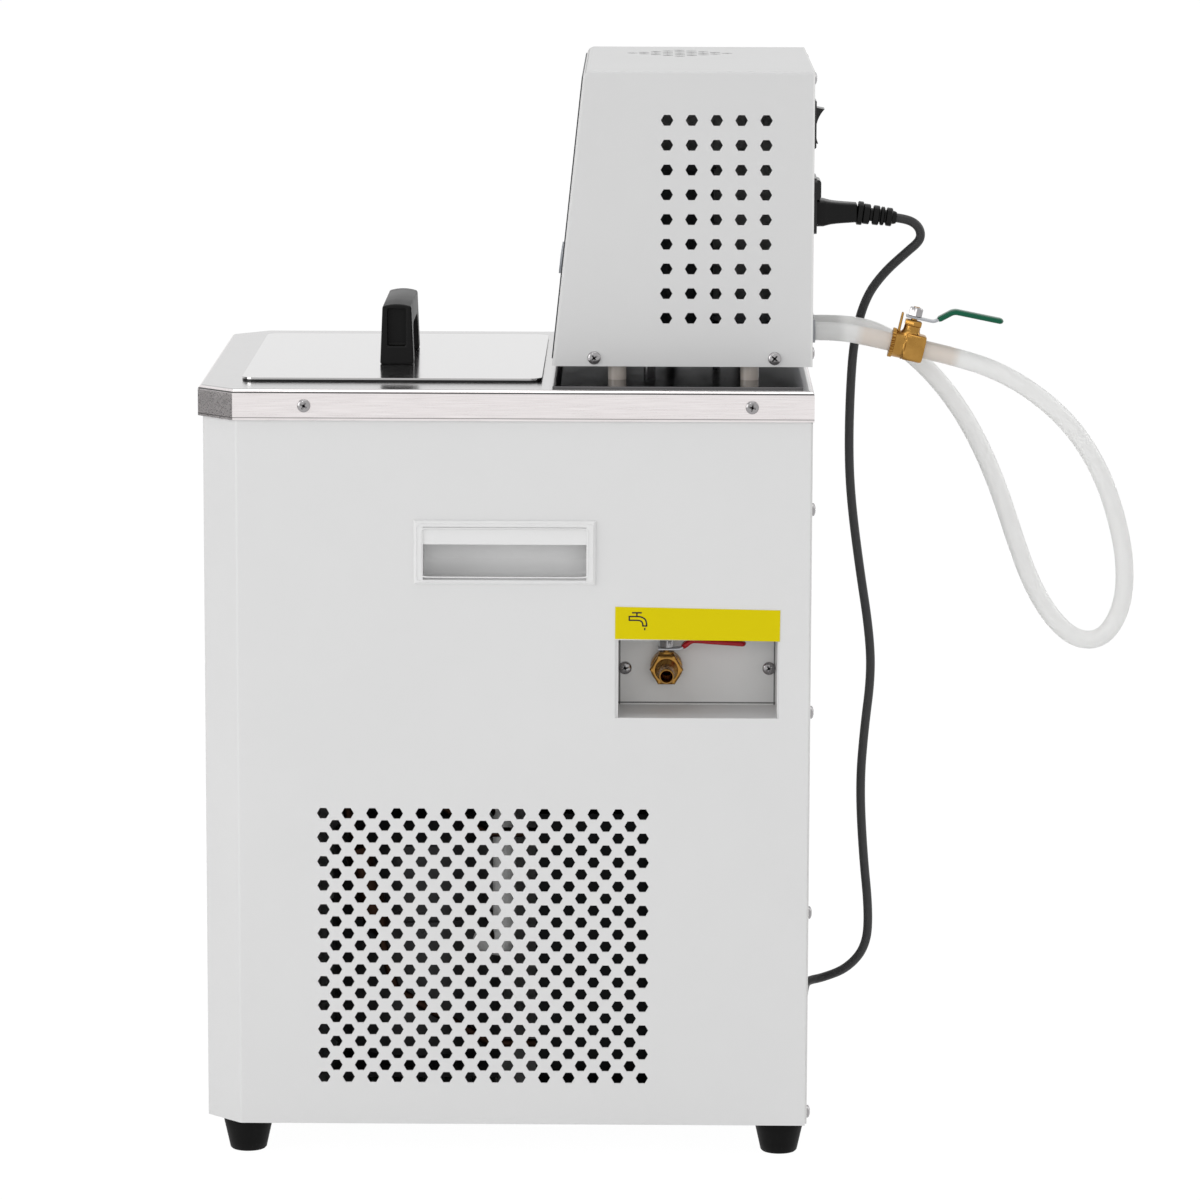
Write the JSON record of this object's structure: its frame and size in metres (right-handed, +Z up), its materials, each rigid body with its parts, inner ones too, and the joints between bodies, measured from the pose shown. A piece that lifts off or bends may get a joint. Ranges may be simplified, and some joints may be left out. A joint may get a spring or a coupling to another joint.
{
  "type": "recirculating chiller",
  "caption": "Bench-top recirculating chiller: sheet-metal cabinet with a hexagonal grille, stainless bath with lid and handle, control and pump head, drain valve, hose loop with a valve.",
  "frame": {"origin": "on the floor, under the middle of the length from the deck's front edge to the tips of the hose outlets", "axes": "+Z up, control panel and lid towards -Y, hose outlets and mains inlet towards +Y, drain valve on the +X side"},
  "size_m": [0.4304, 0.6116, 0.709],
  "materials": {
    "cabinet_paint": "fine satin powder coat",
    "stainless": "brushed",
    "mirror_stainless": "polished",
    "zinc_steel": "zinc plated",
    "screw_steel": "plated",
    "foot_rubber": "matt",
    "handle_plastic": "fine grain",
    "black_plastic": "fine grain",
    "gloss_black": "smooth",
    "rocker_green": "smooth",
    "overlay": "fine texture",
    "key_grey": "satin",
    "board_green": "lacquered",
    "brass": "machined",
    "red_vinyl": "dipped",
    "green_vinyl": "dipped",
    "grey_plastic": "smooth",
    "silicone": "translucent",
    "cord_black": "satin",
    "copper": "drawn tube",
    "compressor_black": "gloss",
    "fin_aluminium": "fins",
    "foam": "closed-cell foam",
    "motor_grey": "satin",
    "post_grey": "smooth"
  },
  "bodies": {
    "chiller": {"cabinet_shell": "cabinet_paint", "rear_panel": "cabinet_paint", "base_pan": "zinc_steel", "feet": "foot_rubber", "side_handle_right": "handle_plastic", "side_handle_left": "handle_plastic", "drain_recess": "cabinet_paint", "drain_plate": "cabinet_paint", "deck": "stainless", "bath_tank": "stainless", "tank_insulation": "foam", "lid": "stainless", "lid_handle": "black_plastic", "pump_head_plate": "mirror_stainless", "head_posts": "post_grey", "head_tray": "zinc_steel", "head_cover": "cabinet_paint", "head_rear_panel": "cabinet_paint", "control_fascia": "overlay", "control_board": "board_green", "rocker_housing": "gloss_black", "mains_inlet": "gloss_black", "fuse_drawer": "gloss_black", "mains_connector": "black_plastic", "mains_cord": "cord_black", "mains_cord_coil": "cord_black", "mains_cord_lead": "cord_black", "mains_plug": "black_plastic", "hose_barbs": "grey_plastic", "supply_hose": "silicone", "return_hose": "silicone", "hose_valve_body": "brass", "drain_valve_body": "brass", "pump_motor": "motor_grey", "pump_housing": "grey_plastic", "heater_coil": "stainless", "evaporator_coil": "stainless", "temperature_probe": "stainless", "compressor": "compressor_black", "condenser": "fin_aluminium", "fan_shroud": "zinc_steel", "fan_motor": "motor_grey", "refrigerant_lines": "copper", "panel_screws": "screw_steel"},
    "power_rocker": {"power_rocker": "rocker_green"},
    "drain_lever": {"drain_valve_stem": "brass", "drain_valve_lever": "zinc_steel", "drain_valve_grip": "red_vinyl", "drain_valve_nut": "screw_steel"},
    "hose_lever": {"hose_valve_stem": "brass", "hose_valve_lever": "zinc_steel", "hose_valve_grip": "green_vinyl", "hose_valve_nut": "screw_steel"},
    "condenser_fan": {"condenser_fan": "fin_aluminium"},
    "pump_rotor": {"pump_shaft": "stainless", "impeller": "grey_plastic"},
    "key_set": {"key_set": "key_grey"},
    "key_down": {"key_down": "key_grey"},
    "key_up": {"key_up": "key_grey"},
    "key_pump": {"key_pump": "key_grey"}
  },
  "joints": [
    {"name": "power_switch", "type": "hinge", "parent": "chiller", "child": "power_rocker", "pos_m": [0.072, 0.186, 0.6716], "axis": [1, 0, 0], "range_deg": [0, 20]},
    {"name": "drain_valve_turn", "type": "hinge", "parent": "chiller", "child": "drain_lever", "pos_m": [0.128, 0.0949, 0.331], "axis": [0, 0, -1], "range_deg": [0, 90]},
    {"name": "hose_valve_turn", "type": "hinge", "parent": "chiller", "child": "hose_lever", "pos_m": [0.104, 0.2514, 0.5292], "axis": [0, -0.2215, -0.9751], "range_deg": [0, 90]},
    {"name": "fan_spin", "type": "hinge", "parent": "chiller", "child": "condenser_fan", "pos_m": [0.074, 0.082, 0.13], "axis": [1, 0, 0], "continuous": true},
    {"name": "pump_spin", "type": "hinge", "parent": "chiller", "child": "pump_rotor", "pos_m": [-0.057, 0.098, 0.4], "axis": [0, 0, 1], "continuous": true},
    {"name": "key_set_press", "type": "slide", "parent": "chiller", "child": "key_set", "axis": [0, 0.9946, -0.1041], "range_m": [0, 0.001], "stiffness_N_per_m": 300},
    {"name": "key_down_press", "type": "slide", "parent": "chiller", "child": "key_down", "axis": [0, 0.9946, -0.1041], "range_m": [0, 0.001], "stiffness_N_per_m": 300},
    {"name": "key_up_press", "type": "slide", "parent": "chiller", "child": "key_up", "axis": [0, 0.9946, -0.1041], "range_m": [0, 0.001], "stiffness_N_per_m": 300},
    {"name": "key_pump_press", "type": "slide", "parent": "chiller", "child": "key_pump", "axis": [0, 0.9946, -0.1041], "range_m": [0, 0.001], "stiffness_N_per_m": 300}
  ]
}
